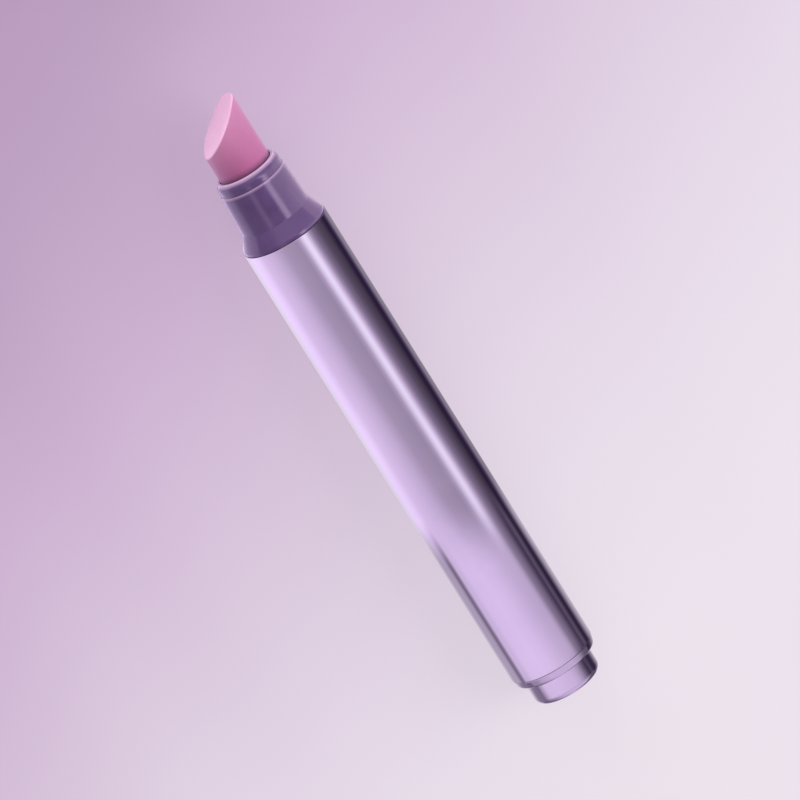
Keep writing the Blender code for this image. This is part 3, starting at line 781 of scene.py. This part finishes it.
tip_foot, tip_apex = (corner.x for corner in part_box("applicator_tip"))
tip_slant = math.radians(38)
tip_turn = math.radians(7.5)
heel = Vector((0, math.cos(tip_turn), math.sin(tip_turn)))
tip_middle = tip_apex - 3.6 * mm
tip_shoulder = sleeve_rim - 1.48 * mm
face_edge = 0.42 * mm
face_blend = 0.7 * face_edge
apex_start = 0.72
apex_loss = 0.35 * mm
soak_and_shade_length = 5.5 * mm
heel_share = 0.45
rim_shade_length = 0.9 * mm
tip_stem_radius = 3.06 * mm
tube_end = tip_foot + 3.12 * mm
face_rings = [(tip_middle, tip_radius * share) for share in (0, 0.2, 0.4, 0.6, 0.75, 0.84)]
tip = turned("applicator_tip_foam", face_rings + [
    (tip_middle, tip_radius, face_edge),
    (sleeve_rim + rim_shade_length, tip_radius),
    (sleeve_rim + 0.4 * rim_shade_length, tip_radius),
    (sleeve_rim, tip_radius),
    (tip_shoulder, tip_radius),
    (tip_shoulder, tip_stem_radius),
    (tip_foot, tip_stem_radius, 0.3 * mm),
    (tip_foot, feed_bore),
    (tube_end, feed_bore),
    (tube_end, 0),
], around=144, sharp=70)
store_mask(tip, "cut_face_and_edge_light", cut_face_and_edge_light)
slant_top(tip)
# Mask of the soaked foam and its painted shade at the foot and heel side.
store_mask(tip, "soaked_and_shaded", soaked_and_shaded)
# Mask of the painted contact shade at the sleeve's rim.
store_mask(tip, "painted_rim_shade", painted_rim_shade)
fit(tip, pink_foam(), "pen_body", "pink_foam", "applicator_tip")


# Cap
# A metallised shell with an inner liner of plain white plastic, which seals round the tip's sleeve. It is
# off the pen, in line beyond the tip, and its mouth pushes on over the collar's flare.

cap_mouth, cap_top = (corner.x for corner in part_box("cap_shell"))
cap_wall = 0.6 * mm
cap_top_radius = 6.35 * mm
cap_ceiling = cap_top - 1.0 * mm
mouth_bore = 6.3 * mm
mouth_chamfer = 1.01 * mm
cap_shell = turned("cap_skin", [
    (cap_top, 0),
    (cap_top, cap_top_radius, 0.6 * mm),
    (cap_mouth, barrel_radius, 0.08 * mm),
    (cap_mouth, mouth_bore, 0.06 * mm),
    (cap_mouth + mouth_chamfer, barrel_radius - cap_wall),
    (cap_ceiling, cap_top_radius - cap_wall, 0.2 * mm),
    (cap_ceiling, 0),
])
fit(cap_shell, MIRROR, "cap", "lilac_metal", "cap_shell")

liner_foot, liner_top = (corner.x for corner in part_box("cap_liner"))
liner_step = liner_foot + 6.1 * mm
liner_ceiling = liner_top - 0.9 * mm
liner_top_radius = 5.63 * mm
liner_foot_radius = 5.77 * mm
liner_mouth_bore = 5.48 * mm
liner_step_bore = 5.18 * mm
liner_bore = 5.03 * mm
cap_liner = turned("cap_liner_body", [
    (liner_top, 0),
    (liner_top, liner_top_radius, 0.3 * mm),
    (liner_foot, liner_foot_radius, 0.1 * mm),
    (liner_foot, liner_mouth_bore, 0.1 * mm),
    (liner_step, liner_step_bore, 0.05 * mm),
    (liner_step, liner_bore, 0.05 * mm),
    (liner_ceiling, liner_bore, 0.4 * mm),
    (liner_ceiling, 0),
])
fit(cap_liner, WHITE, "cap", "white_plastic", "cap_liner")


# Studio
# The pen lies on lilac paper. A graded sheet bent over it and a card on each side show only in what
# shines, with a second set for the collar, sleeve and tip alone. Two soft lamps and a pale sky light it.

def staged(name, mesh, material):
    """A thing of the studio, which is no part of the pen."""
    item = bpy.data.objects.new(name, mesh)
    bpy.context.scene.collection.objects.link(item)
    mesh.materials.append(material)
    return item


def shown(tree):
    """1 where something is seen, mirrored or seen through glass, and 0 where it only gives light."""
    ray = tree.nodes.new("ShaderNodeLightPath").outputs
    return calculate(tree, "MAXIMUM", ray["Is Camera Ray"],
                     calculate(tree, "MAXIMUM", ray["Is Glossy Ray"], ray["Is Transmission Ray"]))


def floor_material():
    """Matt paper with painted light: mauve at one corner, paler across the picture and streaked; seen
    through from below.
    """
    material, tree, shader, position = new_material("floor_paper")
    split = place(tree, "ShaderNodeSeparateXYZ", {"Vector": position}).outputs
    across_picture = calculate(tree, "MULTIPLY_ADD", split["Y"], picture_slant, split["X"])
    # Painted light: the paper pales across the picture and carries soft streaks of light.
    painted_light_slope = ramped(tree, across_picture, mauve_side, pale_side, *painted_light_ends,
                   interpolation_type="SMOOTHSTEP")
    rays = place(tree, "ShaderNodeMapping",
                 {"Vector": position, "Rotation": (0, 0, ray_turn), "Scale": (3, 24, 1)})
    painted_light_streaks = noise(tree, rays.outputs["Vector"], scale=1, detail=1)
    mixed = place(tree, "ShaderNodeMath", {0: painted_light_streaks, 1: ray_share, 2: painted_light_slope},
                  operation="MULTIPLY_ADD", use_clamp=True)
    colour = place(tree, "ShaderNodeValToRGB", {"Fac": mixed.outputs[0]})
    elements = colour.color_ramp.elements
    elements[0].color = (0.48, 0.325, 0.51, 1)
    elements[1].color = (0.87, 0.80, 0.88, 1)
    elements.new(0.32).color = (0.64, 0.475, 0.67, 1)
    tree.links.new(colour.outputs["Color"], shader.inputs["Base Color"])
    set_values(shader, {"Roughness": 0.9, "Specular IOR Level": 0.1})
    clear = tree.nodes.new("ShaderNodeBsdfTransparent")
    below = tree.nodes.new("ShaderNodeNewGeometry").outputs["Backfacing"]
    plain = place(tree, "ShaderNodeEmission", {"Color": colour.outputs["Color"], "Strength": 1.0})
    plainness = calculate(tree, "MULTIPLY", shown(tree), plain_share)
    lit = place(tree, "ShaderNodeMixShader", {0: plainness, 1: shader.outputs[0], 2: plain.outputs[0]})
    switch = place(tree, "ShaderNodeMixShader", {0: below, 1: lit.outputs[0], 2: clear.outputs[0]})
    tree.links.new(switch.outputs[0], tree.nodes["Material Output"].inputs["Surface"])
    return material


picture_slant = 0.5
mauve_side = 150 * mm
pale_side = -20 * mm
painted_light_ends = (-0.15, 0.85)
ray_turn = math.radians(-64)
ray_share = 0.3
plain_share = 0.7
floor_height = -barrel_radius
floor_reach = 4.0
floor_mesh = bpy.data.meshes.new("floor")
floor_mesh.from_pydata(
    [(x, y, floor_height) for x, y in ((-floor_reach, -floor_reach), (floor_reach, -floor_reach),
                                       (floor_reach, floor_reach), (-floor_reach, floor_reach))],
    [], [(0, 1, 2, 3)],
)
staged("floor", floor_mesh, floor_material())

camera_tilt = math.radians(17.3)
camera_distance = 2.0
aim = Vector((48.57 * mm, -1.14 * mm, 0))
camera_height = camera_distance * math.cos(camera_tilt) - barrel_radius
camera_station = aim.x + camera_distance * math.sin(camera_tilt)
sheet_radius = 0.30
sheet_strength = 5.0


def ramp(tree, across, stops):
    """A ramp of brightness across a sheet; a stop is a place, a brightness and perhaps a tint."""
    node = place(tree, "ShaderNodeValToRGB", {"Fac": across})
    elements = node.color_ramp.elements
    elements.remove(elements[1])
    for index, (position, brightness, *tint) in enumerate(stops):
        element = elements[0] if index == 0 else elements.new(position)
        element.position = position
        light = [brightness / sheet_strength * part for part in (tint[0] if tint else white_tint)]
        element.color = (*light, 1)
    return node.outputs["Color"]


def glow(name, zones, borders, skew=0.0, see_through=False):
    """Light of a sheet: a ramp across it for each zone along the pen, by where the pen mirrors it.

    A sheet that is seen through adds its light to what lies behind it.
    """
    material = bpy.data.materials.new(name)
    material.use_nodes = True
    tree = material.node_tree
    tree.nodes.clear()
    coordinates = tree.nodes.new("ShaderNodeTexCoord")
    split = place(tree, "ShaderNodeSeparateXYZ", {"Vector": coordinates.outputs["Object"]}).outputs
    squares = calculate(tree, "MULTIPLY_ADD", split["Y"], split["Y"],
                        calculate(tree, "MULTIPLY", split["Z"], split["Z"]))
    off_pen = calculate(tree, "SUBTRACT", calculate(tree, "SQRT", squares), barrel_radius)
    lean = calculate(tree, "DIVIDE", off_pen, camera_height)
    leaning = calculate(tree, "MULTIPLY_ADD", lean, camera_station, split["X"])
    mirrored = calculate(tree, "DIVIDE", leaning, calculate(tree, "ADD", lean, 1.0))
    u = place(tree, "ShaderNodeSeparateXYZ", {"Vector": coordinates.outputs["UV"]}).outputs["X"]
    across = calculate(tree, "MULTIPLY_ADD", calculate(tree, "SUBTRACT", mirrored, pen_middle), skew, u)
    colour = ramp(tree, across, zones[0])
    for stops, (zone_start, zone_end) in zip(zones[1:], borders):
        share = ramped(tree, mirrored, zone_start, zone_end, interpolation_type="SMOOTHSTEP")
        colour = blended(tree, share, colour, ramp(tree, across, stops))
    strength = ramped(tree, mirrored, *brightening, sheet_strength, front_gain * sheet_strength)
    lamp = place(tree, "ShaderNodeEmission", {"Color": colour, "Strength": strength})
    if see_through:
        clear = tree.nodes.new("ShaderNodeBsdfTransparent")
        lamp = place(tree, "ShaderNodeAddShader", {0: lamp.outputs[0], 1: clear.outputs[0]})
    output = tree.nodes.new("ShaderNodeOutputMaterial")
    tree.links.new(lamp.outputs[0], output.inputs["Surface"])
    return material


pen_middle = 50 * mm
brightening = (40 * mm, 75 * mm)
front_gain = 1.06

# Borders between the zones: behind the pen, its button, the barrel's rear and the rest, and for the nozzle
# what lies over it and what its steeper faces mirror from far beyond the tip.
pen_borders = [(-6 * mm, -4 * mm), (3.2 * mm, 4.2 * mm), (24 * mm, 33 * mm)]
nozzle_borders = [(190 * mm, 210 * mm)]

white_tint = (1.0, 0.98, 1.0)
strip_tint = (0.98, 1.07, 0.95)
dark_tint = (0.98, 0.92, 1.03)
deep_tint = (0.95, 0.70, 1.3)
rosy_tint = (1.05, 0.82, 1.08)
lilac_tint = (1.02, 0.80, 1.20)


def bent_sheet(name, radius, angles, reach, steps=96):
    """A sheet bent round the pen's axis. Angles are from straight up towards -Y; u runs across it."""
    work = bmesh.new()
    layer = work.loops.layers.uv.new("across")
    rows = []
    for step in range(steps + 1):
        share = step / steps
        angle = math.radians(angles[0] + (angles[1] - angles[0]) * share)
        y, z = -radius * math.sin(angle), radius * math.cos(angle)
        rows.append((share, [work.verts.new((x, y, z)) for x in reach]))
    for (share, row), (next_share, next_row) in zip(rows, rows[1:]):
        face = work.faces.new((row[0], row[1], next_row[1], next_row[0]))
        for loop, u in zip(face.loops, (share, share, next_share, next_share)):
            loop[layer].uv = (u, 0.5)
    mesh = bpy.data.meshes.new(name)
    work.to_mesh(mesh)
    work.free()
    return mesh


def hang(name, mesh, material, state):
    """A sheet that shows only in what shines: the nozzle (INCLUDE) or all but the nozzle (EXCLUDE)."""
    item = staged(name, mesh, material)
    item.visible_camera = False
    item.visible_diffuse = False
    item.visible_shadow = False
    item.visible_transmission = False
    nozzle = bpy.data.collections.new(name)
    for piece in (collar, tip_sleeve, tip):
        nozzle.objects.link(piece)
    for entry in nozzle.collection_objects:
        entry.light_linking.link_state = state
    item.light_linking.receiver_collection = nozzle


sheet_angles = (-106, 98)
sheet_reach = (-0.45, 0.55)
sheet_skew = 0.9
near_sheet_radius = sheet_radius - 5 * mm


def across_sheet(zones):
    """Zones whose stops are angles from straight up, as places across the bent sheet."""
    start, end = sheet_angles
    return [[((angle - start) / (end - start), *light) for angle, *light in stops] for stops in zones]


sheet = bent_sheet("bent_sheet", sheet_radius, sheet_angles, sheet_reach)
hang("bent_sheet", sheet, glow("bent_sheet_glow", across_sheet([
    [(-102, 0.45), (-88, 0.70), (-60, 0.85), (10, 0.80), (36, 0.60), (55, 0.28), (70, 0.12), (90, 0.15)],
    [(-102, 0.36, dark_tint), (-95, 0.50), (-88, 0.75), (-78, 0.95), (-45, 0.98), (0, 0.90), (14, 0.88),
     (28, 0.76), (41, 0.54), (53, 0.31, dark_tint), (61, 0.17, dark_tint), (71, 0.06, deep_tint),
     (82, 0.11, dark_tint)],
    [(-91, 0.90), (-78, 1.04), (-45, 1.08), (-20, 1.03), (0, 0.92), (20, 0.82), (40, 0.75), (46, 0.68),
     (56, 0.37), (68, 0.25, dark_tint), (75, 0.15, dark_tint), (82, 0.085, deep_tint),
     (90, 0.12, dark_tint)],
    [(-91, 1.00), (-70, 0.90), (-51, 0.80), (-35, 0.67), (-20, 0.54), (0, 0.49), (15, 0.46), (24, 0.60),
     (32, 0.98, strip_tint), (38, 1.20, strip_tint), (43, 1.14, strip_tint), (51, 0.76), (58, 0.44),
     (66, 0.28, dark_tint), (80, 0.15, dark_tint), (92, 0.10, dark_tint)],
]), pen_borders, sheet_skew), "EXCLUDE")
near_sheet = bent_sheet("nozzle_sheet", near_sheet_radius, sheet_angles, sheet_reach)
hang("nozzle_sheet", near_sheet, glow("nozzle_sheet_glow", across_sheet([
    [(-91, 0.9, lilac_tint), (-60, 0.40, lilac_tint), (-27, 0.30, rosy_tint), (-20, 1.0, rosy_tint),
     (-12, 1.0, rosy_tint), (-5, 0.30, rosy_tint), (32, 0.35, rosy_tint), (40, 3.8, rosy_tint),
     (50, 3.8, rosy_tint), (58, 1.3, rosy_tint), (96, 1.6, rosy_tint)],
    [(-106, 1.6, lilac_tint), (-85, 1.2, lilac_tint), (-45, 0.45, lilac_tint), (0, 0.35, rosy_tint),
     (25, 0.9, rosy_tint), (90, 0.8, rosy_tint)],
]), nozzle_borders, sheet_skew, see_through=True), "INCLUDE")


def card_on_floor(name, side, lift, material, state):
    """A card that lies beside the pen, out to the foot of the bent sheet; u runs away from the pen."""
    mesh = bpy.data.meshes.new(name)
    near, far = side * card_gap, side * sheet_radius
    height = floor_height + lift
    start, end = card_reach
    corners = [(start, near, height), (end, near, height), (end, far, height), (start, far, height)]
    mesh.from_pydata(corners, [], [(0, 1, 2, 3)])
    layer = mesh.uv_layers.new(name="across")
    near_place = card_gap / sheet_radius
    for loop, u in zip(layer.data, (near_place, near_place, 1, 1)):
        loop.uv = (u, 0.5)
    hang(name, mesh, material, state)


def across_card(zones):
    """Zones whose stops are distances from the pen's axis in millimetres, as places across a card."""
    return [[(distance * mm / sheet_radius, *light) for distance, *light in stops] for stops in zones]


card_gap = 7 * mm
card_reach = (-0.25, 0.35)
card_lift = 0.3 * mm
near_card_lift = 0.6 * mm
card_on_floor("white_card", 1, card_lift, glow("white_card_glow", across_card([
    [(9, 0.24, dark_tint), (280, 0.3, dark_tint)],
    [(9, 0.75), (13, 0.45), (17, 0.32, dark_tint), (60, 0.28, dark_tint), (250, 0.38, dark_tint)],
    [(8, 0.70), (14, 0.55), (18, 0.62), (26, 0.50), (34, 0.26), (55, 0.36), (90, 0.72), (200, 0.90)],
    [(7, 0.75), (9, 0.85), (14, 1.12), (20, 1.20), (40, 1.15), (65, 1.06), (280, 1.0)],
]), pen_borders), "EXCLUDE")
card_on_floor("dark_flag", -1, card_lift, glow("dark_flag_glow", across_card([
    [(9, 0.16, dark_tint), (280, 0.2, dark_tint)],
    [(8, 0.60), (12, 0.32), (16, 0.12, dark_tint), (22, 0.045, deep_tint), (40, 0.06, deep_tint),
     (120, 0.13, dark_tint)],
    [(8, 0.60), (12, 0.52), (17, 0.20), (22, 0.04, deep_tint), (32, 0.05, deep_tint),
     (50, 0.14, dark_tint), (110, 0.14, dark_tint), (200, 0.09, dark_tint)],
    [(8, 0.32), (13, 0.28), (17, 0.10, deep_tint), (22, 0.028, deep_tint), (34, 0.045, deep_tint),
     (60, 0.08, dark_tint), (200, 0.10, dark_tint)],
]), pen_borders), "EXCLUDE")
card_on_floor("lilac_card", 1, near_card_lift, glow("lilac_card_glow", across_card([
    [(9, 1.5, lilac_tint), (60, 1.3, lilac_tint), (280, 0.9, lilac_tint)],
    [(9, 2.0, lilac_tint), (280, 1.6, lilac_tint)],
]), nozzle_borders, see_through=True), "INCLUDE")
card_on_floor("rosy_card", -1, near_card_lift, glow("rosy_card_glow", across_card([
    [(9, 1.2, rosy_tint), (40, 1.5, rosy_tint), (280, 1.8, rosy_tint)],
    [(9, 0.5, rosy_tint), (280, 0.7, rosy_tint)],
]), nozzle_borders, see_through=True), "INCLUDE")


def soft_lamp(name, size, power, place_at, colour=(1.0, 1.0, 1.0)):
    """A square soft box aimed at the pen's middle. It doesn't show in what shines."""
    light = bpy.data.lights.new(name, "AREA")
    light.size = size
    light.energy = power
    light.color = colour
    lamp = bpy.data.objects.new(name, light)
    lamp.location = place_at
    lamp.rotation_euler = (lamp_target - Vector(place_at)).to_track_quat("-Z", "Y").to_euler()
    lamp.visible_glossy = False
    bpy.context.scene.collection.objects.link(lamp)


lamp_target = Vector((0.06, 0, 0))
soft_lamp("side_light", size=0.5, power=2.3, place_at=(-0.05, -0.52, 0.45))
soft_lamp("front_light", size=0.5, power=2.4, place_at=(0.62, 0.05, 0.14), colour=(1.0, 0.97, 1.0))


def sky():
    """Even light on the object, behind a plain pale background that is also what glass and metal show."""
    world = bpy.data.worlds.new("studio")
    world.use_nodes = True
    tree = world.node_tree
    light = tree.nodes["Background"]
    set_values(light, {"Color": (0.97, 0.95, 0.98, 1), "Strength": 0.52})
    backdrop = place(tree, "ShaderNodeBackground", {"Color": (0.83, 0.78, 0.85, 1), "Strength": 1.0})
    switch = place(tree, "ShaderNodeMixShader",
                   {0: shown(tree), 1: light.outputs[0], 2: backdrop.outputs[0]})
    tree.links.new(switch.outputs[0], tree.nodes["World Output"].inputs["Surface"])
    return world


bpy.context.scene.world = sky()


# Camera
# It looks down on the pen from the tip's side through a long lens, turned so that the tip points up and
# to the left. The frame is as wide as 111 mm at the pen.

frame_width = 111.3 * mm
sensor_width = 36.0
leftwards = 0.531
upwards = 0.847
back = Vector((math.sin(camera_tilt), 0, math.cos(camera_tilt)))
along_pen = Vector((math.cos(camera_tilt), 0, -math.sin(camera_tilt)))
across_pen = Vector((0, 1, 0))
right = -leftwards * along_pen - upwards * across_pen
up = upwards * along_pen - leftwards * across_pen
lens = bpy.data.cameras.new("camera")
lens.sensor_width = sensor_width
lens.lens = sensor_width * camera_distance / frame_width
lens.clip_start = 0.1
lens.clip_end = 20.0
camera = bpy.data.objects.new("camera", lens)
camera.matrix_world = Matrix.Translation(aim + back * camera_distance) @ Matrix((
    (right.x, up.x, back.x, 0), (right.y, up.y, back.y, 0), (right.z, up.z, back.z, 0), (0, 0, 0, 1),
))
bpy.context.scene.collection.objects.link(camera)
bpy.context.scene.camera = camera
bpy.context.scene.view_settings.view_transform = "Standard"
